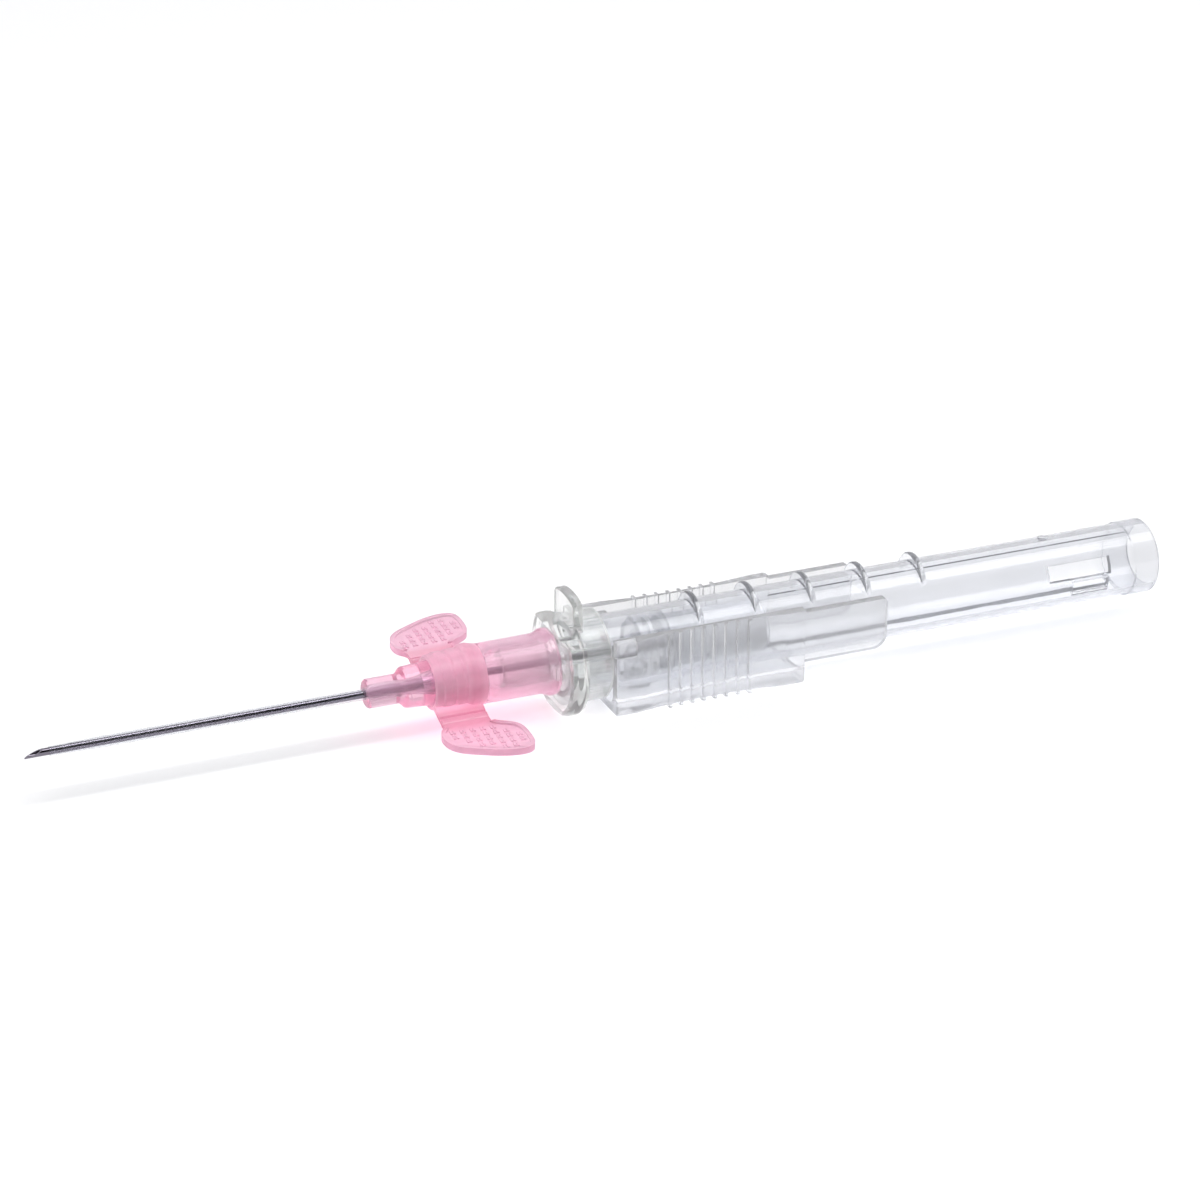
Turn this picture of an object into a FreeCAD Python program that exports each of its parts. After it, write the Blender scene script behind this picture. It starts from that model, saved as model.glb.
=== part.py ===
import FreeCAD, Part
import math, os
from FreeCAD import Vector as V

# ---------------------------------------------------------------------------
# Winged safety peripheral catheter on its introducer needle.
# Units are millimetres.  +X runs rearwards along the needle axis, +Z is up,
# and z = 0 is the underside of the finger grip, on which the device lies.
# Stations "s" are measured along the axis from the needle point; the frame's
# x is s - S0, so that x = 0 is the middle of the finger grip.
# ---------------------------------------------------------------------------
S0 = 67.45            # station of the middle of the finger grip
AX_H = 4.98           # height of the needle axis above the grip's underside

# needle cannula, 22 gauge thin wall
NEEDLE_R = 0.36
NEEDLE_BORE_R = 0.235
NEEDLE_END = 65.2
BEVEL_ANGLE = 21.0    # main grind
LANCET_ROLL = 38.0    # the two side grinds are rolled this far about the axis
LANCET_ANGLE = 27.0

# catheter tube, 20 gauge
TUBE_FRONT = 2.40
TUBE_TAPER_END = 7.80
TUBE_TIP_R = 0.435
TUBE_R = 0.55
TUBE_BORE_TIP_R = 0.38
TUBE_BORE_R = 0.405
FLARE_START = 38.30   # the tube is belled over the eyelet from here
FLARE_END = 41.60
FLARE_R = 1.00
FLARE_WALL = 0.14

# steel eyelet that wedges the tube in the hub
EYELET_WALL = 0.11

# catheter hub
HUB_FRONT = 33.36
NOSE_R = 1.45
NOSE_END = 36.60
STEP_R = 2.02
STEP_END = 39.70
CORE_R = 2.42         # under the wing collar
LUER_START = 44.90
LUER_BODY_R = 2.97
LUER_FLARE = 50.85
LIP_START = 51.60
LIP_R = 3.32
LIP_END = 52.42
SOCKET_MOUTH_R = 2.155
LUER_TAPER = 0.03     # 6 percent on the diameter
SOCKET_DEPTH = 6.20

# wing collar and wings, moulded in one soft piece
COLLAR_FRONT = STEP_END
COLLAR_REAR = LUER_START
WING_ROLL = 18.95     # the webs lie rolled about the axis, near side down
WING_DROP = -1.26     # mid surface of the webs below the axis, before the roll
WING_WEB_T = 0.56
WING_T = 0.50
WING_FOLD = 4.95      # fold line, outward of the axis
PADDLE_DROOP = {1: 15.0, -1: -12.9}   # degrees, each paddle below its own web
RIM_H = 0.22
RIM_W = 0.42
PAD_H = 0.13

# needle guard: front moulding
G_CLEAR = 0.04        # radial clearance of its luer nose in the hub's socket
GN_TIP = 46.90
GN_BORE_R = 1.30
FL_FRONT = 52.55
FL_REAR = 54.50
FL_R = 5.62
FL_TOP = 3.10         # flange is cut flat here, either side of the tab
FL_BOTTOM = 4.93      # and kept just clear of the table below
TAB_FRONT = 53.85
TAB_REAR = 54.80
TAB_HALF = 2.60
TAB_TOP_R = 7.05
SKIRT_R = 4.50
SKIRT_END = 57.25
BOSS_R = 2.20
BOSS_END = 58.30
BOSS_BORE_R = 0.54

# needle guard: tube
GT_FRONT = 54.60
GT_REAR = 117.80
GT_R = 3.68
GT_RING_R = 3.80       # thicker ring at the rear end
GT_RING_FRONT = 115.00
GT_BORE_R = 3.08
RAIL_FRONT = 75.0      # the shoulder grooves start here
SLOT_HALF = 0.95
SLOT_FRONT = 59.80
SLOT_REAR = 114.90
SLIT = (114.40, 114.90)
ARC_RIBS = (67.30, 73.30, 79.35, 85.40, 91.50)
ARC_RIB_H = 0.92
ARC_LENS_R = 2.90
ARC_RIB_T = 0.62
WINDOW = (105.20, 112.20, 6.0, 35.0)     # stations, then degrees above level
WINDOW_LOW = (107.90, 112.00, -24.0, 0.5)

# needle housing, the finger grip
H_FRONT = 57.40
H_REAR = 77.50
H_HALF = 4.93
H_TOP = 2.97
H_IN_HALF = 3.88
H_FLOOR = -3.93
WAIST = 0.66
WAIST_S = (59.6, 75.3)
GRIP_RIBS = (63.10, 64.31, 65.52, 66.73, 67.94, 69.15, 70.36, 71.57)
TAIL_REAR = 86.45
TAIL_HALF = 4.74
TAIL_TOP = 2.66
TAIL_BOTTOM = -2.67
LATCH_R = GT_R + 0.10
RIB_TIP = 0.50        # finger ribs stand this far proud of the hollowed wall
RIB_T = 0.38

# needle hub, carried by a stem through the guard's slot
NH_FRONT = 59.90
NH_REAR = 64.20
NH_R = 2.90
STEM = (60.30, 62.10)
STEM_HALF = 0.80
STEM_FOOT = -4.08
SPIGOT_R = 2.00
SPIGOT_END = 66.60

# flash chamber behind it, and its vent plug
FC_R = 2.60
FC_REAR = 74.75
FC_BORE_R = 2.00
PLUG_LEN = 6.55

os.makedirs("parts", exist_ok=True)
AXV = V(1, 0, 0)


def X(s):
    return s - S0


def rev(profile):
    """Solid of revolution about the needle axis from (station, radius) points."""
    pts = [V(X(s), 0, r) for s, r in profile]
    face = Part.Face(Part.makePolygon(pts + [pts[0]]))
    return face.revolve(V(0, 0, 0), AXV, 360)


def cyl(s0, s1, r):
    return Part.makeCylinder(r, s1 - s0, V(X(s0), 0, 0), AXV)


def box(s0, s1, y0, y1, z0, z1):
    return Part.makeBox(s1 - s0, y1 - y0, z1 - z0, V(X(s0), y0, z0))


def prism_x(points, s0, s1):
    """Closed (y, z) polygon extruded from s0 to s1."""
    pts = [V(X(s0), y, z) for y, z in points]
    return Part.Face(Part.makePolygon(pts + [pts[0]])).extrude(V(s1 - s0, 0, 0))


def sector(s0, s1, r0, r1, a0, a1, side):
    """Piece of a ring between two angles above level, on one side (y sign)."""
    ring = cyl(s0, s1, r1).cut(cyl(s0 - 1, s1 + 1, r0))
    far = r1 * 3
    n = 6
    pts = [(0, 0)]
    for i in range(n + 1):
        a = math.radians(a0 + (a1 - a0) * i / n)
        pts.append((side * far * math.cos(a), far * math.sin(a)))
    return ring.common(prism_x(pts, s0 - 0.5, s1 + 0.5))


def fillet_where(shape, r, test):
    edges = [e for e in shape.Edges if test(e)]
    return shape.makeFillet(r, edges) if edges else shape


def out(name, shape):
    shape = shape.copy()
    if shape.ShapeType == "Compound" and len(shape.Solids) == 1:
        shape = shape.Solids[0]
    shape.translate(V(0, 0, AX_H))
    bb = shape.BoundBox
    print("%-16s solids %d valid %s vol %8.3f  x %.2f..%.2f  y %.2f..%.2f  z %.2f..%.2f" % (
        name, len(shape.Solids), shape.isValid(), shape.Volume,
        bb.XMin, bb.XMax, bb.YMin, bb.YMax, bb.ZMin, bb.ZMax))
    shape.exportStep("parts/" + name + ".step")
    return shape


# ---------------------------------------------------------------- needle
def make_needle():
    n = cyl(0, NEEDLE_END, NEEDLE_R).cut(cyl(-1, NEEDLE_END + 1, NEEDLE_BORE_R))

    def grind(angle, roll, start):
        # everything above a plane that rises rearwards from the lower edge
        b = Part.makeBox(12, 6, 6, V(0, -3, 0))
        b.rotate(V(0, 0, 0), V(0, 1, 0), -angle)
        b.translate(V(X(start), 0, -NEEDLE_R))
        b.rotate(V(0, 0, 0), AXV, roll)
        return b
    n = n.cut(grind(BEVEL_ANGLE, 0, 0.0))
    for sign in (1, -1):
        n = n.cut(grind(LANCET_ANGLE, sign * LANCET_ROLL, -0.42))
    return n


# ---------------------------------------------------------------- catheter
def make_catheter_tube():
    outer = rev([(TUBE_FRONT, 0), (TUBE_FRONT, TUBE_TIP_R), (TUBE_TAPER_END, TUBE_R),
                 (FLARE_START, TUBE_R), (FLARE_END, FLARE_R), (FLARE_END, 0)])
    inner = rev([(TUBE_FRONT - 1, 0), (TUBE_FRONT - 1, TUBE_BORE_TIP_R),
                 (TUBE_FRONT + 1.5, TUBE_BORE_TIP_R), (TUBE_FRONT + 3.5, TUBE_BORE_R),
                 (FLARE_START - 0.2, TUBE_BORE_R), (FLARE_END, FLARE_R - FLARE_WALL),
                 (FLARE_END + 1, FLARE_R - FLARE_WALL), (FLARE_END + 1, 0)])
    return outer.cut(inner)


def make_eyelet():
    # a thin cone of drawn steel inside the belled end of the tube, with a
    # small turned-out rim behind it
    k = (FLARE_R - FLARE_WALL - TUBE_BORE_R) / (FLARE_END - FLARE_START + 0.2)
    s0 = FLARE_START + 0.75
    r0 = TUBE_BORE_R + k * (s0 - FLARE_START + 0.2)
    r1 = FLARE_R - FLARE_WALL
    outer = rev([(s0, 0), (s0, r0), (FLARE_END, r1), (FLARE_END, r1 + 0.16),
                 (FLARE_END + 0.25, r1 + 0.16), (FLARE_END + 0.25, 0)])
    inner = rev([(s0 - 1, 0), (s0 - 1, r0 - EYELET_WALL), (s0, r0 - EYELET_WALL),
                 (FLARE_END, r1 - EYELET_WALL), (FLARE_END + 1, r1 - EYELET_WALL),
                 (FLARE_END + 1, 0)])
    return outer.cut(inner)


def make_hub():
    outer = rev([
        (HUB_FRONT, 0), (HUB_FRONT, NOSE_R - 0.28), (HUB_FRONT + 0.08, NOSE_R - 0.12),
        (HUB_FRONT + 0.26, NOSE_R), (NOSE_END, NOSE_R),
        (NOSE_END + 0.25, NOSE_R + 0.20), (NOSE_END + 0.52, STEP_R - 0.07),
        (NOSE_END + 0.72, STEP_R), (STEP_END, STEP_R + 0.14),
        (STEP_END, CORE_R), (LUER_START, CORE_R),
        (LUER_START, LUER_BODY_R - 0.10), (LUER_START + 0.12, LUER_BODY_R),
        (LUER_FLARE, LUER_BODY_R + 0.03), (LUER_FLARE + 0.35, LUER_BODY_R + 0.12),
        (LIP_START, LIP_R - 0.04), (LIP_START + 0.20, LIP_R), (LIP_END - 0.16, LIP_R),
        (LIP_END, LIP_R - 0.14), (LIP_END, 0)])
    sock_end = LIP_END - SOCKET_DEPTH
    r_end = SOCKET_MOUTH_R - LUER_TAPER * SOCKET_DEPTH
    bore = rev([
        (HUB_FRONT - 1, 0), (HUB_FRONT - 1, TUBE_R), (FLARE_START, TUBE_R),
        (FLARE_END, FLARE_R), (FLARE_END, FLARE_R + 0.12), (FLARE_END + 0.9, FLARE_R + 0.12),
        (FLARE_END + 2.6, 1.72), (sock_end - 0.5, 1.80), (sock_end, r_end),
        (LIP_END, SOCKET_MOUTH_R), (LIP_END + 1, SOCKET_MOUTH_R), (LIP_END + 1, 0)])
    return outer.cut(bore)


def wing_outline():
    """(station, outward) points of one paddle, from its front root round to
    its rear root."""
    return [(39.72, 4.85), (39.70, 5.40), (39.34, 5.85), (38.95, 6.42), (38.80, 7.15),
            (38.90, 8.05), (39.28, 8.85), (40.05, 9.55), (41.20, 10.15), (42.60, 10.80),
            (43.95, 11.26), (45.15, 11.46), (46.10, 11.38), (46.68, 10.98), (46.92, 10.30),
            (46.96, 9.20), (46.88, 8.05), (46.58, 7.25), (46.00, 6.70), (45.25, 6.28), (44.50, 5.72), (44.38, 4.85)]


def wing_face(points, z):
    bs = Part.BSplineCurve()
    bs.interpolate([V(X(s), o, z) for s, o in points])
    e1 = bs.toShape()
    e2 = Part.makeLine(V(X(points[-1][0]), points[-1][1], z), V(X(points[0][0]), points[0][1], z))
    return Part.Face(Part.Wire([e1, e2]))


def inset(points, d):
    """The paddle outline moved inwards by d, as points."""
    res = []
    n = len(points)
    for i in range(n):
        a = points[max(i - 1, 0)]
        b = points[min(i + 1, n - 1)]
        tx, ty = b[0] - a[0], b[1] - a[1]
        m = math.hypot(tx, ty)
        res.append((points[i][0] + d * ty / m, points[i][1] - d * tx / m))
    return res


def make_paddle(side):
    """One paddle in its own plane: mid surface z = 0, outward along y."""
    pts = [(s, side * o) for s, o in wing_outline()]

    def slab(s0, s1, o0, o1, z0, z1):
        y0, y1 = sorted((side * o0, side * o1))
        return box(s0, s1, y0, y1, z0, z1)
    plate = wing_face(pts, -WING_T / 2).extrude(V(0, 0, WING_T))
    plate = plate.fuse(slab(39.72, 44.38, WING_FOLD - 0.55, WING_FOLD + 0.4, -WING_T / 2, WING_T / 2))
    # raised rim round the free edge, open towards the fold
    zone = wing_face([(s, side * o) for s, o in inset(wing_outline(), RIM_W)], 0)
    core = zone.extrude(V(0, 0, 3))
    core.translate(V(0, 0, -0.5))
    rim = wing_face(pts, WING_T / 2 - 0.05).extrude(V(0, 0, RIM_H + 0.05)).cut(core)
    rim = rim.cut(slab(38.0, 48.0, 4.0, 5.85, 0, 2))
    body = plate.fuse(rim)
    # grip pads in seven columns of five, two teeth to a pad
    top = WING_T / 2
    teeth = []
    for c in range(7):
        for r in range(5):
            s = 40.02 + c * 1.00
            o = 6.60 + r * 0.88 + 0.06 * c
            corners = [(s - 0.34, o - 0.34), (s + 0.34, o - 0.34), (s - 0.34, o + 0.34), (s + 0.34, o + 0.34)]
            if all(zone.isInside(V(X(cs), side * co, 0), 1e-4, True) for cs, co in corners):
                for k in (-0.15, 0.15):
                    teeth.append(slab(s + k - 0.10, s + k + 0.10, o - 0.26, o + 0.26, top - 0.05, top + PAD_H))
    return body.fuse(teeth)


def make_wing(side):
    paddle = make_paddle(side)
    paddle.rotate(V(0, side * WING_FOLD, 0), AXV, -side * PADDLE_DROOP[side])
    paddle.translate(V(0, 0, WING_DROP))
    # web from the collar to the fold, with a shallow crease beside the fold
    t = WING_WEB_T / 2
    sect = [(0.0, WING_DROP - t), (WING_FOLD - 0.30, WING_DROP - t),
            (WING_FOLD + 0.10, WING_DROP - WING_T / 2 + 0.01), (WING_FOLD + 0.10, WING_DROP + WING_T / 2 - 0.10),
            (WING_FOLD - 0.30, WING_DROP + t), (WING_FOLD - 0.75, WING_DROP + t),
            (WING_FOLD - 0.95, WING_DROP + t - 0.12), (WING_FOLD - 1.15, WING_DROP + t),
            (2.60, WING_DROP + t + 0.16), (0.0, WING_DROP + t + 0.5)]
    web = prism_x([(side * o, z) for o, z in sect], 39.72, 44.38)
    return web.fuse(paddle)


def make_collar():
    prof = [(COLLAR_FRONT, 0), (COLLAR_FRONT, 2.58), (COLLAR_FRONT + 0.14, 2.70),
            (COLLAR_FRONT + 0.75, 2.74), (COLLAR_FRONT + 0.90, 2.86), (COLLAR_FRONT + 1.60, 2.88),
            (COLLAR_FRONT + 1.75, 2.80), (COLLAR_FRONT + 2.00, 2.80), (COLLAR_FRONT + 2.15, 2.92),
            (COLLAR_FRONT + 2.85, 2.95), (COLLAR_FRONT + 3.00, 2.87), (COLLAR_FRONT + 3.22, 2.87),
            (COLLAR_FRONT + 3.40, 3.05), (COLLAR_FRONT + 3.75, 3.19), (COLLAR_FRONT + 4.30, 3.21),
            (COLLAR_FRONT + 4.75, 3.10), (COLLAR_REAR, 2.99), (COLLAR_REAR, 0)]
    body = rev(prof).fuse([make_wing(1), make_wing(-1)])
    body = body.cut(cyl(COLLAR_FRONT - 3, COLLAR_REAR + 5, CORE_R))
    body.rotate(V(0, 0, 0), AXV, WING_ROLL)
    return body


# ---------------------------------------------------------------- guard
def make_guard_nose():
    tip_r = SOCKET_MOUTH_R - LUER_TAPER * (LIP_END - GN_TIP) - G_CLEAR
    root_r = SOCKET_MOUTH_R + LUER_TAPER * (FL_FRONT - LIP_END) - G_CLEAR
    body = rev([(GN_TIP, 0), (GN_TIP, tip_r - 0.15), (GN_TIP + 0.15, tip_r), (FL_FRONT, root_r),
                (FL_FRONT, 0)])
    f = 0.55
    fl = rev([(FL_FRONT, 0), (FL_FRONT, FL_R - f), (FL_FRONT + f * 0.30, FL_R - f * 0.30),
              (FL_FRONT + f, FL_R), (FL_REAR - f, FL_R), (FL_REAR - f * 0.30, FL_R - f * 0.30),
              (FL_REAR, FL_R - f), (FL_REAR, 0)])
    fl = fl.cut(box(FL_FRONT - 1, FL_REAR + 1, -9, 9, FL_TOP, 9))
    fl = fl.cut(box(FL_FRONT - 1, FL_REAR + 1, -9, 9, -9, -FL_BOTTOM))
    tab = cyl(TAB_FRONT, TAB_REAR, TAB_TOP_R).common(box(TAB_FRONT, TAB_REAR, -TAB_HALF, TAB_HALF, 0, 9))
    tab = fillet_where(tab, 0.75, lambda e: abs(e.BoundBox.XLength - (TAB_REAR - TAB_FRONT)) < 1e-3
                       and e.BoundBox.ZMin > 4)
    tab = fillet_where(tab, 0.22, lambda e: e.BoundBox.XLength < 1e-3 and e.BoundBox.ZMax > 3.5
                       and e.BoundBox.XMin < X(TAB_FRONT) + 0.01 and e.BoundBox.ZMin > 0.01)
    body = body.fuse([fl, tab, cyl(FL_REAR, SKIRT_END, SKIRT_R)])
    # buttress behind the tab, down to the skirt
    body = body.fuse(prism_x([(-1.0, 3.5), (1.0, 3.5), (0.75, 5.3), (-0.75, 5.3)], TAB_REAR - 0.2, TAB_REAR + 0.55))
    # seat for the guard tube
    body = body.cut(cyl(GT_FRONT, SKIRT_END + 1, GT_R))
    # guide boss for the needle behind the flange, with a rounded end
    body = body.fuse(rev([(FL_REAR - 0.5, 0), (FL_REAR - 0.5, BOSS_R), (BOSS_END - 0.6, BOSS_R),
                          (BOSS_END - 0.25, BOSS_R - 0.12), (BOSS_END - 0.05, BOSS_R - 0.38),
                          (BOSS_END, BOSS_R - 0.70), (BOSS_END, 0)]))
    bore = rev([(GN_TIP - 1, 0), (GN_TIP - 1, GN_BORE_R), (FL_FRONT - 0.6, GN_BORE_R),
                (FL_FRONT + 0.2, BOSS_BORE_R), (BOSS_END + 1, BOSS_BORE_R), (BOSS_END + 1, 0)])
    return body.cut(bore)


def make_guard_tube():
    body = rev([(GT_FRONT, GT_BORE_R), (GT_FRONT, GT_R), (GT_RING_FRONT, GT_R),
                (GT_RING_FRONT + 0.12, GT_RING_R), (GT_REAR - 0.18, GT_RING_R),
                (GT_REAR, GT_RING_R - 0.16), (GT_REAR, GT_BORE_R + 0.10), (GT_REAR - 0.12, GT_BORE_R)])
    # fine groove along either shoulder, where the flat top rail begins
    for a in (70.8, 109.2):
        c, s_ = math.cos(math.radians(a)), math.sin(math.radians(a))
        pts = [(-(r * c - w * s_), r * s_ + w * c) for r, w in
               ((GT_R + 0.05, -0.13), (GT_R + 0.05, 0.13), (GT_R - 0.11, 0.02), (GT_R - 0.11, -0.02))]
        body = body.cut(prism_x(pts, RAIL_FRONT, GT_RING_FRONT - 0.05))
    # arc ribs over the top, each a lens that dies out down either flank
    ribs = []
    for s in ARC_RIBS:
        lift = GT_R + ARC_RIB_H - ARC_LENS_R
        r = Part.makeCylinder(ARC_LENS_R, ARC_RIB_T, V(X(s) - ARC_RIB_T / 2, 0, lift), AXV)
        r = fillet_where(r, 0.24, lambda e: e.BoundBox.YLength > 1)
        r = r.cut(cyl(s - 1, s + 1, GT_R - 0.2))
        ribs.append(r)
    body = body.fuse(ribs)
    # gate mark on the top
    mark = Part.makeCylinder(0.55, 1.2, V(X(106.3), 0.35, GT_R - 1.02), V(0, 0, 1))
    mark = mark.common(cyl(104, 109, GT_R + 0.14)).cut(cyl(104, 109, GT_R - 0.3))
    body = body.fuse(mark)
    # slot along the underside for the needle hub's stem
    body = body.cut(box(SLOT_FRONT, SLOT_REAR, -SLOT_HALF, SLOT_HALF, -6, -1))
    # cross slit at its rear end
    cuts = [box(SLIT[0], SLIT[1], -6, 6, -6, -2.85)]
    # two windows in one flank
    cuts.append(sector(WINDOW[0], WINDOW[1], 2.5, 5.0, WINDOW[2], WINDOW[3], -1))
    cuts.append(sector(WINDOW_LOW[0], WINDOW_LOW[1], 2.5, 5.0, WINDOW_LOW[2], WINDOW_LOW[3], -1))
    for c in cuts:
        body = body.cut(c)
    return body


# ---------------------------------------------------------------- housing
def make_housing():
    L = H_REAR - H_FRONT
    grip = box(H_FRONT, H_REAR, -H_HALF, H_HALF, -AX_H, H_TOP)
    # finger waist: each side wall is hollowed by a large radius
    chord = WAIST_S[1] - WAIST_S[0]
    R = ((chord / 2) ** 2 + WAIST ** 2) / (2 * WAIST)
    mid = (WAIST_S[0] + WAIST_S[1]) / 2
    for side in (1, -1):
        c = Part.makeCylinder(R, 20, V(X(mid), side * (H_HALF + R - WAIST), -10), V(0, 0, 1))
        grip = grip.cut(c)
    # round the long lower edges and the upright corners
    grip = fillet_where(grip, 0.55, lambda e: e.BoundBox.ZMax < -AX_H + 0.01 and e.BoundBox.XLength > 1
                        and abs(e.CenterOfMass.y) > 4)
    grip = fillet_where(grip, 0.30, lambda e: e.BoundBox.ZLength > 5 and abs(abs(e.CenterOfMass.y) - H_HALF) < 0.05
                        and (abs(e.CenterOfMass.x - X(H_FRONT)) < 0.05 or abs(e.CenterOfMass.x - X(H_REAR)) < 0.05))
    # upright finger ribs with rounded tips, proud of the hollowed wall
    ribs = []
    for s in GRIP_RIBS:
        depth = WAIST * (1 - ((s - mid) / (chord / 2)) ** 2)
        for side in (1, -1):
            yr = H_HALF - depth
            tip = yr + RIB_TIP - RIB_T / 2
            z0, h = -AX_H + 0.12, AX_H + H_TOP - 0.12
            rb = Part.makeCylinder(RIB_T / 2, h, V(X(s), side * tip, z0), V(0, 0, 1))
            y0, y1 = sorted((side * (yr - 0.1), side * tip))
            ribs.append(rb.fuse(box(s - RIB_T / 2, s + RIB_T / 2, y0, y1, z0, z0 + h)))
    grip = grip.fuse(ribs)
    # tail: two side rails along the guard tube
    rails = []
    for side in (1, -1):
        y0, y1 = sorted((side * (H_IN_HALF - 0.05), side * TAIL_HALF))
        rail = box(H_REAR - 0.5, TAIL_REAR, y0, y1, TAIL_BOTTOM, TAIL_TOP)
        rail = fillet_where(rail, 1.5, lambda e: e.BoundBox.YLength > 0.5 and e.BoundBox.XLength < 1e-3
                            and e.BoundBox.ZLength < 1e-3 and abs(e.CenterOfMass.x - X(TAIL_REAR)) < 0.01
                            and abs(e.CenterOfMass.z - TAIL_BOTTOM) < 0.01)
        rail = fillet_where(rail, 0.45, lambda e: e.BoundBox.YLength > 0.5 and e.BoundBox.XLength < 1e-3
                            and e.BoundBox.ZLength < 1e-3 and abs(e.CenterOfMass.x - X(TAIL_REAR)) < 0.01
                            and abs(e.CenterOfMass.z - TAIL_TOP) < 0.01)
        rails.append(rail)
    body = grip.fuse(rails)
    # channel for the guard tube: flat walls, flat floor, rounded inner corners
    ch = box(H_FRONT - 1, TAIL_REAR + 1, -H_IN_HALF, H_IN_HALF, H_FLOOR, 9)
    ch = fillet_where(ch, 0.95, lambda e: e.BoundBox.XLength > 5 and e.CenterOfMass.z < H_FLOOR + 0.01)
    body = body.cut(ch)
    # latch pads at the front of the walls, hollowed to the tube's round
    pads = []
    for side in (1, -1):
        y0, y1 = sorted((side * 2.6, side * (H_IN_HALF + 0.1)))
        pd = box(H_FRONT + 0.35, H_FRONT + 2.4, y0, y1, 1.0, 2.45)
        pd = pd.cut(cyl(H_FRONT - 1, H_FRONT + 4, LATCH_R))
        pads.append(pd)
    body = body.fuse(pads)
    # pocket in the floor for the stem's foot
    body = body.cut(box(STEM[0], STEM[1], -STEM_HALF, STEM_HALF, STEM_FOOT, H_FLOOR + 1))
    return body.removeSplitter()


def make_needle_hub():
    body = rev([(NH_FRONT, 0), (NH_FRONT, 0.75), (NH_FRONT + 0.15, 0.95), (NH_FRONT + 0.9, 1.10),
                (NH_FRONT + 0.9, NH_R - 0.25), (NH_FRONT + 1.15, NH_R), (NH_REAR, NH_R), (NH_REAR, SPIGOT_R),
                (SPIGOT_END - 0.2, SPIGOT_R), (SPIGOT_END, SPIGOT_R - 0.15), (SPIGOT_END, 0)])
    # lighten the disc with a groove round it
    body = body.cut(rev([(62.45, 1.7), (62.45, 4), (63.45, 4), (63.45, 1.7)]))
    stem = box(STEM[0], STEM[1], -STEM_HALF, STEM_HALF, STEM_FOOT, -1.2)
    body = body.fuse(stem)
    bore = rev([(NH_FRONT - 1, 0), (NH_FRONT - 1, NEEDLE_R), (NEEDLE_END, NEEDLE_R),
                (NEEDLE_END, 1.20), (SPIGOT_END + 1, 1.35), (SPIGOT_END + 1, 0)])
    return body.cut(bore)


def make_flash_chamber():
    return rev([(NH_REAR, SPIGOT_R), (NH_REAR, FC_R), (FC_REAR - 0.25, FC_R), (FC_REAR, FC_R - 0.22),
                (FC_REAR, FC_BORE_R)])


def make_vent_plug():
    return rev([(FC_REAR - PLUG_LEN, 0), (FC_REAR - PLUG_LEN, FC_BORE_R - 0.12), (FC_REAR - PLUG_LEN + 0.12, FC_BORE_R),
                (FC_REAR - 0.3, FC_BORE_R), (FC_REAR - 0.3, 0)])


out("needle_cannula", make_needle())
out("catheter_tube", make_catheter_tube())
out("tube_eyelet", make_eyelet())
out("catheter_hub", make_hub())
out("wing_collar", make_collar())
out("guard_nose", make_guard_nose())
out("guard_tube", make_guard_tube())
out("needle_housing", make_housing())
out("needle_hub", make_needle_hub())
out("flash_chamber", make_flash_chamber())
out("vent_plug", make_vent_plug())
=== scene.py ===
import math

import bpy
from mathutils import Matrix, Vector

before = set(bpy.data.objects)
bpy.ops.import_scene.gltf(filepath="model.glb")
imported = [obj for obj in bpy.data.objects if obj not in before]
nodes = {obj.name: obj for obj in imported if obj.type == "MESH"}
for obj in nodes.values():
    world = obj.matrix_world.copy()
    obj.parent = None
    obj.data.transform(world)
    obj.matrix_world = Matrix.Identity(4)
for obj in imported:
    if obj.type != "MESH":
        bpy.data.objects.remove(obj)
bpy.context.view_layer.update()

MM = 0.001


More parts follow.
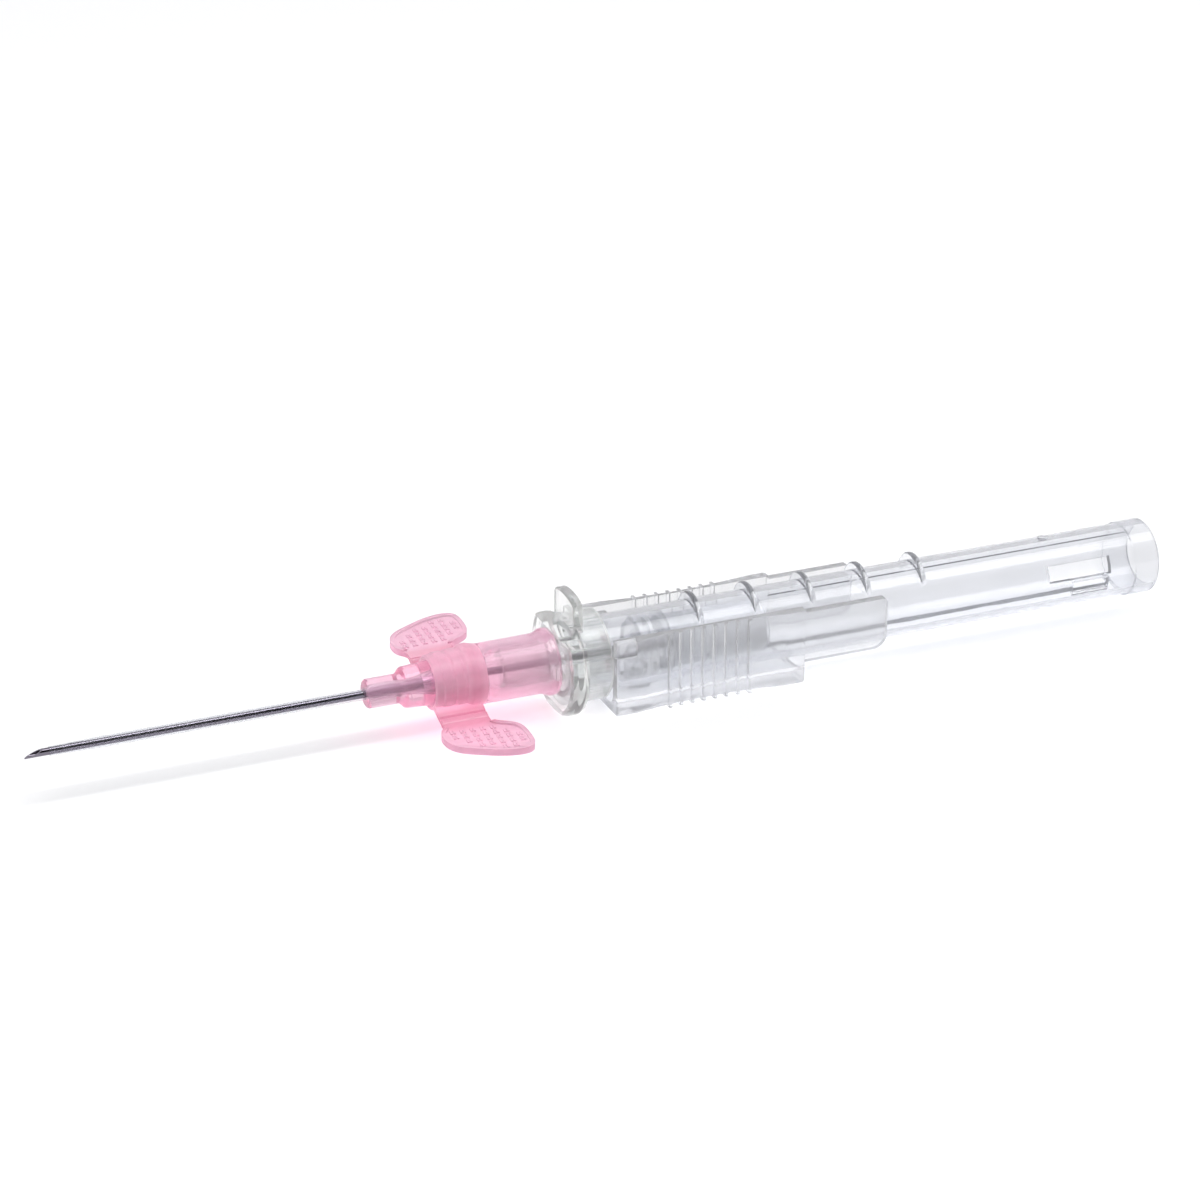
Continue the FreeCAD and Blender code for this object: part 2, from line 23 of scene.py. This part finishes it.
# ------------------------------------------------------------------ node helpers
class Tree:
    """A material's node tree with short calls for the nodes used here."""

    def __init__(self, name):
        self.mat = bpy.data.materials.new(name)
        self.mat.use_nodes = True
        self.nt = self.mat.node_tree
        self.nt.nodes.clear()
        self.out = self.nt.nodes.new("ShaderNodeOutputMaterial")
        self._coord = None

    def new(self, kind, **values):
        n = self.nt.nodes.new(kind)
        for k, v in values.items():
            setattr(n, k, v)
        return n

    def link(self, a, b):
        self.nt.links.new(a, b)

    def coord(self, scale=(1, 1, 1), rotation=(0, 0, 0)):
        if self._coord is None:
            self._coord = self.new("ShaderNodeTexCoord")
        m = self.new("ShaderNodeMapping")
        m.inputs["Scale"].default_value = scale
        m.inputs["Rotation"].default_value = rotation
        self.link(self._coord.outputs["Object"], m.inputs["Vector"])
        return m.outputs["Vector"]

    def noise(self, scale, detail=4.0, rough=0.55, stretch=(1, 1, 1), distortion=0.0):
        n = self.new("ShaderNodeTexNoise")
        n.inputs["Scale"].default_value = scale
        n.inputs["Detail"].default_value = detail
        n.inputs["Roughness"].default_value = rough
        n.inputs["Distortion"].default_value = distortion
        self.link(self.coord(stretch), n.inputs["Vector"])
        return n.outputs["Fac"]

    def remap(self, value, lo, hi, a=0.0, b=1.0):
        n = self.new("ShaderNodeMapRange")
        n.inputs["From Min"].default_value = a
        n.inputs["From Max"].default_value = b
        n.inputs["To Min"].default_value = lo
        n.inputs["To Max"].default_value = hi
        self.link(value, n.inputs["Value"])
        return n.outputs["Result"]

    def ramp(self, value, stops):
        n = self.new("ShaderNodeValToRGB")
        el = n.color_ramp.elements
        while len(el) < len(stops):
            el.new(0.5)
        for e, (p, c) in zip(el, stops):
            e.position = p
            e.color = (*c, 1.0)
        self.link(value, n.inputs["Fac"])
        return n.outputs["Color"]

    def bump(self, height, distance, strength=1.0, normal=None):
        n = self.new("ShaderNodeBump")
        n.inputs["Strength"].default_value = strength
        n.inputs["Distance"].default_value = distance
        self.link(height, n.inputs["Height"])
        if normal is not None:
            self.link(normal, n.inputs["Normal"])
        return n.outputs["Normal"]

    def finish(self, shader, shadow_tint=None):
        """shadow_tint lets lamp light through a clear part, in that colour."""
        if shadow_tint is None:
            self.link(shader, self.out.inputs["Surface"])
            return self.mat
        path = self.new("ShaderNodeLightPath")
        tr = self.new("ShaderNodeBsdfTransparent")
        tr.inputs["Color"].default_value = (*shadow_tint, 1.0)
        mix = self.new("ShaderNodeMixShader")
        self.link(path.outputs["Is Shadow Ray"], mix.inputs[0])
        self.link(shader, mix.inputs[1])
        self.link(tr.outputs["BSDF"], mix.inputs[2])
        self.link(mix.outputs["Shader"], self.out.inputs["Surface"])
        return self.mat


def set_in(node, **values):
    for k, v in values.items():
        node.inputs[k.replace("_", " ")].default_value = v


# ------------------------------------------------------------------ materials
def clear_plastic(name, tint_a, tint_b, ior, rough, wave, shadow, haze=0.0, haze_colour=(1, 1, 1),
                  absorb=None, density=0.0, frosted=None, radial_tone_and_painted_light=None):
    """Moulded clear plastic: refraction, a faint flow pattern in colour and
    roughness, a very shallow surface wave, a little haze in the polymer, and
    absorption that deepens the colour where the wall is seen edge on."""
    t = Tree(name)
    p = t.new("ShaderNodeBsdfPrincipled")
    flow = t.noise(260.0, 3.0, 0.5, (0.35, 1, 1), 0.6)
    t.link(t.ramp(flow, [(0.30, tint_a), (0.70, tint_b)]), p.inputs["Base Color"])
    t.link(t.remap(t.noise(900.0, 3.0), rough * 0.6, rough * 1.5, 0.3, 0.7), p.inputs["Roughness"])
    set_in(p, IOR=ior, Transmission_Weight=1.0)
    fine = t.noise(1500.0, 2.0, 0.5, (0.6, 1, 1))
    t.link(t.bump(flow, wave, 1.0, t.bump(fine, wave * 0.12)), p.inputs["Normal"])
    shader = p.outputs["BSDF"]
    if haze > 0:
        d = t.new("ShaderNodeBsdfTranslucent")
        d.inputs["Color"].default_value = (*haze_colour, 1.0)
        r = t.new("ShaderNodeBsdfDiffuse")
        r.inputs["Color"].default_value = (*haze_colour, 1.0)
        if radial_tone_and_painted_light is not None:
            # haze colour by distance from the needle axis: lighter near the axis, painted light against the shade
            # the layers around it cast; a deeper pink at the wing roots, their own colour; lighter on the thin
            # paddles, a painted sheen
            r0, r1 = radial_tone_and_painted_light[0][0], radial_tone_and_painted_light[-1][0]
            pos = t.new("ShaderNodeVectorMath", operation="MULTIPLY_ADD")
            t.link(t.coord(), pos.inputs[0])
            pos.inputs[1].default_value = (0.0, 1.0, 1.0)
            pos.inputs[2].default_value = (0.0, 0.0, -4.98 * MM)
            far = t.new("ShaderNodeVectorMath", operation="LENGTH")
            t.link(pos.outputs["Vector"], far.inputs[0])
            wing_tone_and_painted_light = t.ramp(t.remap(far.outputs["Value"], 0.0, 1.0, r0, r1),
                          [((r - r0) / (r1 - r0), colour) for r, colour in radial_tone_and_painted_light])
            t.link(wing_tone_and_painted_light, d.inputs["Color"])
            t.link(wing_tone_and_painted_light, r.inputs["Color"])
        both = t.new("ShaderNodeMixShader")
        both.inputs[0].default_value = 0.5
        t.link(d.outputs["BSDF"], both.inputs[1])
        t.link(r.outputs["BSDF"], both.inputs[2])
        mix = t.new("ShaderNodeMixShader")
        amount = t.remap(flow, haze * 0.75, haze * 1.25, 0.3, 0.7)
        if frosted is not None:
            x0, x1, more = frosted
            sx = t.new("ShaderNodeSeparateXYZ")
            t.link(t.coord(), sx.inputs[0])
            ring = t.remap(sx.outputs["X"], 0.0, more, x0, x1)
            add = t.new("ShaderNodeMath", operation="ADD")
            t.link(amount, add.inputs[0])
            t.link(ring, add.inputs[1])
            amount = add.outputs[0]
        t.link(amount, mix.inputs[0])
        t.link(shader, mix.inputs[1])
        t.link(both.outputs["Shader"], mix.inputs[2])
        shader = mix.outputs["Shader"]
    if absorb is not None:
        v = t.new("ShaderNodeVolumeAbsorption")
        v.inputs["Color"].default_value = (*absorb, 1.0)
        v.inputs["Density"].default_value = density
        t.link(v.outputs["Volume"], t.out.inputs["Volume"])
    return t.finish(shader, shadow)


def steel(name, rough, dark, light):
    """Drawn and ground stainless steel, with fine lines along x."""
    t = Tree(name)
    p = t.new("ShaderNodeBsdfPrincipled")
    lines = t.noise(2600.0, 4.0, 0.6, (0.03, 1, 1))
    t.link(t.ramp(lines, [(0.25, dark), (0.75, light)]), p.inputs["Base Color"])
    t.link(t.remap(lines, rough * 0.7, rough * 1.4, 0.3, 0.7), p.inputs["Roughness"])
    set_in(p, Metallic=1.0)
    t.link(t.bump(lines, 0.0000012), p.inputs["Normal"])
    return t.finish(p.outputs["BSDF"])


def tubing(name):
    """Fluoropolymer tubing: clear with a bluish haze, drawn lines along x."""
    t = Tree(name)
    p = t.new("ShaderNodeBsdfPrincipled")
    lines = t.noise(900.0, 3.0, 0.5, (0.04, 1, 1))
    t.link(t.ramp(lines, [(0.3, (0.93, 0.935, 0.97)), (0.7, (0.96, 0.965, 0.985))]), p.inputs["Base Color"])
    t.link(t.remap(lines, 0.05, 0.11, 0.3, 0.7), p.inputs["Roughness"])
    set_in(p, IOR=1.36, Transmission_Weight=1.0)
    t.link(t.bump(lines, 0.0000010), p.inputs["Normal"])
    d = t.new("ShaderNodeBsdfDiffuse")
    d.inputs["Color"].default_value = (0.78, 0.79, 0.86, 1)
    mix = t.new("ShaderNodeMixShader")
    t.link(t.remap(lines, 0.012, 0.03, 0.3, 0.7), mix.inputs[0])
    t.link(p.outputs["BSDF"], mix.inputs[1])
    t.link(d.outputs["BSDF"], mix.inputs[2])
    return t.finish(mix.outputs["Shader"], (0.93, 0.935, 0.95))


def guard_plastic(name):
    """The long tube: clear, and frosted at its thicker rear ring."""
    return clear_plastic(name, (0.945, 0.95, 0.965), (0.957, 0.962, 0.976), 1.49, 0.04, 0.00003,
                         (0.87, 0.875, 0.885), 0.085, (0.80, 0.81, 0.85), (0.80, 0.82, 0.90), 50.0,
                         frosted=(46.3 * MM, 47.6 * MM, 0.12))


def porous(name):
    """Sintered white plug: fine grains, light soaks through it."""
    t = Tree(name)
    p = t.new("ShaderNodeBsdfPrincipled")
    v = t.new("ShaderNodeTexVoronoi")
    v.inputs["Scale"].default_value = 5200.0
    t.link(t.coord(), v.inputs["Vector"])
    t.link(t.ramp(v.outputs["Distance"], [(0.1, (0.97, 0.97, 0.97)), (0.8, (0.88, 0.88, 0.89))]), p.inputs["Base Color"])
    t.link(t.remap(v.outputs["Distance"], 0.75, 0.95), p.inputs["Roughness"])
    t.link(t.bump(v.outputs["Distance"], 0.00003), p.inputs["Normal"])
    d = t.new("ShaderNodeBsdfTranslucent")
    d.inputs["Color"].default_value = (0.97, 0.97, 0.975, 1.0)
    mix = t.new("ShaderNodeMixShader")
    mix.inputs[0].default_value = 0.45
    t.link(p.outputs["BSDF"], mix.inputs[1])
    t.link(d.outputs["BSDF"], mix.inputs[2])
    return t.finish(mix.outputs["Shader"], (0.9, 0.9, 0.9))


MATS = {
    # the needle steel is much darker and more purple than bare steel: a painted reflection of dark surroundings
    "needle_cannula": steel("needle_steel", 0.06, (0.185, 0.165, 0.205), (0.235, 0.215, 0.255)),
    "tube_eyelet": steel("eyelet_steel", 0.22, (0.86, 0.74, 0.82), (0.95, 0.84, 0.91)),
    "catheter_tube": tubing("catheter_tubing"),
    "catheter_hub": clear_plastic("hub_pink_clear", (0.985, 0.925, 0.96), (0.995, 0.945, 0.975), 1.49, 0.08,
                                  0.00003, (0.97, 0.95, 0.958), 0.24, (1.0, 0.68, 0.84),
                                  (1.0, 0.38, 0.62), 120.0),
    "wing_collar": clear_plastic("wing_pink_soft", (0.975, 0.85, 0.905), (0.985, 0.87, 0.925), 1.48, 0.10,
                                 0.00002, (0.97, 0.955, 0.96), 0.58, (1.0, 0.70, 0.82),
                                 (1.0, 0.38, 0.58), 75.0,
                                 # radial haze stops: the light inner colour and the lighter paddle colour are
                                 # painted light; the deep pink at 3.6 to 5.6 mm is the wing's own colour
                                 radial_tone_and_painted_light=[(3.05 * MM, (1.0, 0.70, 0.82)), (3.6 * MM, (0.78, 0.37, 0.49)),
                                        (5.6 * MM, (0.78, 0.37, 0.49)), (6.6 * MM, (0.84, 0.56, 0.68))]),
    "guard_nose": clear_plastic("nose_clear", (0.975, 0.982, 0.975), (0.985, 0.99, 0.986), 1.50, 0.08,
                                0.00003, (0.96, 0.965, 0.96), 0.16, (0.985, 0.995, 0.985),
                                (0.78, 0.84, 0.80), 50.0),
    "guard_tube": guard_plastic("guard_clear"),
    "needle_housing": clear_plastic("housing_clear", (0.985, 0.987, 0.993), (0.99, 0.992, 0.996), 1.49, 0.09,
                                    0.00004, (0.955, 0.957, 0.962), 0.18, (0.98, 0.98, 0.992),
                                    (0.82, 0.84, 0.90), 20.0),
    "needle_hub": clear_plastic("needle_hub_clear", (0.965, 0.97, 0.98), (0.975, 0.98, 0.99), 1.50, 0.14,
                                0.00003, (0.95, 0.955, 0.965), 0.14, (0.93, 0.94, 0.96)),
    "flash_chamber": clear_plastic("chamber_clear", (0.97, 0.975, 0.985), (0.98, 0.985, 0.99), 1.49, 0.15,
                                   0.00003, (0.96, 0.96, 0.97), 0.14, (0.90, 0.91, 0.94)),
    "vent_plug": porous("vent_white"),
}
for name, mat in MATS.items():
    o = nodes[name]
    o.data.materials.clear()
    o.data.materials.append(mat)

# ------------------------------------------------------------------ stage
floor_mesh = bpy.data.meshes.new("floor")
W = 4.0
floor_mesh.from_pydata([(-W, -W, 0), (W, -W, 0), (W, W, 0), (-W, W, 0)], [], [(0, 1, 2, 3)])
floor = bpy.data.objects.new("floor", floor_mesh)
bpy.context.scene.collection.objects.link(floor)
floor.location.z = -0.05 * MM
t = Tree("floor_white")
fp = t.new("ShaderNodeBsdfPrincipled")
t.link(t.ramp(t.noise(3.0, 2.0), [(0.3, (0.92, 0.92, 0.925)), (0.7, (0.93, 0.93, 0.935))]), fp.inputs["Base Color"])
set_in(fp, Roughness=0.8, Specular_IOR_Level=0.2)
floor_mesh.materials.append(t.finish(fp.outputs["BSDF"]))

world = bpy.data.worlds.new("studio")
bpy.context.scene.world = world
world.cycles.sampling_method = "NONE"
world.use_nodes = True
wn = world.node_tree
wn.nodes.clear()


def wnode(kind, **values):
    n = wn.nodes.new(kind)
    for k, v in values.items():
        setattr(n, k, v)
    return n


def wmath(op, a, b=None):
    n = wnode("ShaderNodeMath", operation=op)
    for i, x in enumerate((a, b)):
        if x is None:
            continue
        if isinstance(x, (int, float)):
            n.inputs[i].default_value = x
        else:
            wn.links.new(x, n.inputs[i])
    return n.outputs[0]


def wstep(value, lo, hi, a, b):
    n = wnode("ShaderNodeMapRange", interpolation_type="SMOOTHSTEP")
    for k, v in (("From Min", lo), ("From Max", hi), ("To Min", a), ("To Max", b)):
        n.inputs[k].default_value = v
    wn.links.new(value, n.inputs["Value"])
    return n.outputs["Result"]


# the room by its angle about the x axis: 0 in front, 0.5 overhead, 1 behind.
# A dark edge ends the overhead strip, then a grey ceiling and a pale back wall.
wo = wnode("ShaderNodeOutputWorld")
bg = wnode("ShaderNodeBackground")
tc = wnode("ShaderNodeTexCoord")
sx = wnode("ShaderNodeSeparateXYZ")
wn.links.new(tc.outputs["Generated"], sx.inputs[0])
turn = wmath("ARCTAN2", sx.outputs["Z"], wmath("MULTIPLY", sx.outputs["Y"], -1.0))
turn = wmath("MULTIPLY", turn, 1.0 / math.pi)
room = wnode("ShaderNodeValToRGB")
stops = [(0.00, 0.50), (0.30, 0.62), (0.530, 0.70), (0.538, 0.02), (0.560, 0.02), (0.568, 0.42),
         (0.68, 0.50), (0.73, 1.05), (0.84, 1.05), (0.90, 0.66), (1.00, 0.60)]
el = room.color_ramp.elements
while len(el) < len(stops):
    el.new(0.5)
for e, (pos, v) in zip(el, stops):
    e.position = pos
    e.color = (v * 0.975, v * 0.98, v, 1.0)
wn.links.new(turn, room.inputs["Fac"])
# dim towards the dark room in front
front = wmath("ADD", wmath("MULTIPLY", sx.outputs["X"], -0.36), wmath("MULTIPLY", sx.outputs["Y"], -0.86))
front = wmath("ADD", front, wmath("MULTIPLY", sx.outputs["Z"], 0.36))
wn.links.new(room.outputs["Color"], bg.inputs["Color"])
wn.links.new(wstep(front, 0.34, 0.66, 1.0, 0.035), bg.inputs["Strength"])
wn.links.new(bg.outputs["Background"], wo.inputs["Surface"])


def softbox(name, at, look, size, power, colour=(1, 1, 1)):
    d = bpy.data.lights.new(name, "AREA")
    d.shape = "RECTANGLE"
    d.size, d.size_y = size
    d.energy = power
    d.color = colour
    o = bpy.data.objects.new(name, d)
    bpy.context.scene.collection.objects.link(o)
    o.location = at
    o.rotation_mode = "QUATERNION"
    o.rotation_quaternion = (Vector(look) - Vector(at)).to_track_quat("-Z", "Y")
    return o


softbox("strip", (0.0, -0.198, 1.20), (0.0, -0.198, 0.0), (4.0, 0.672), 25.5)
softbox("left", (-0.80, 0.05, 0.35), (0, 0, 0), (0.5, 0.3), 0.6)

# ------------------------------------------------------------------ camera
AZ, EL = math.radians(-22.675), math.radians(24.807)
back = Vector((math.sin(AZ) * math.cos(EL), -math.cos(AZ) * math.cos(EL), math.sin(EL)))
target = Vector((-9.791, 0.0, 10.532)) * MM
cam_data = bpy.data.cameras.new("camera")
cam = bpy.data.objects.new("camera", cam_data)
bpy.context.scene.collection.objects.link(cam)
cam.location = target + back * 0.393307
cam.rotation_mode = "QUATERNION"
cam.rotation_quaternion = (-back).to_track_quat("-Z", "Y")
cam_data.sensor_width = 36.0
cam_data.lens = 121.9545
cam_data.clip_start, cam_data.clip_end = 0.01, 20.0
scene = bpy.context.scene
scene.camera = cam
scene.view_settings.view_transform = "Standard"
scene.view_settings.look = "None"
scene.cycles.max_bounces = 24
scene.cycles.transmission_bounces = 24
scene.cycles.transparent_max_bounces = 32
scene.cycles.caustics_refractive = True
scene.cycles.caustics_reflective = False
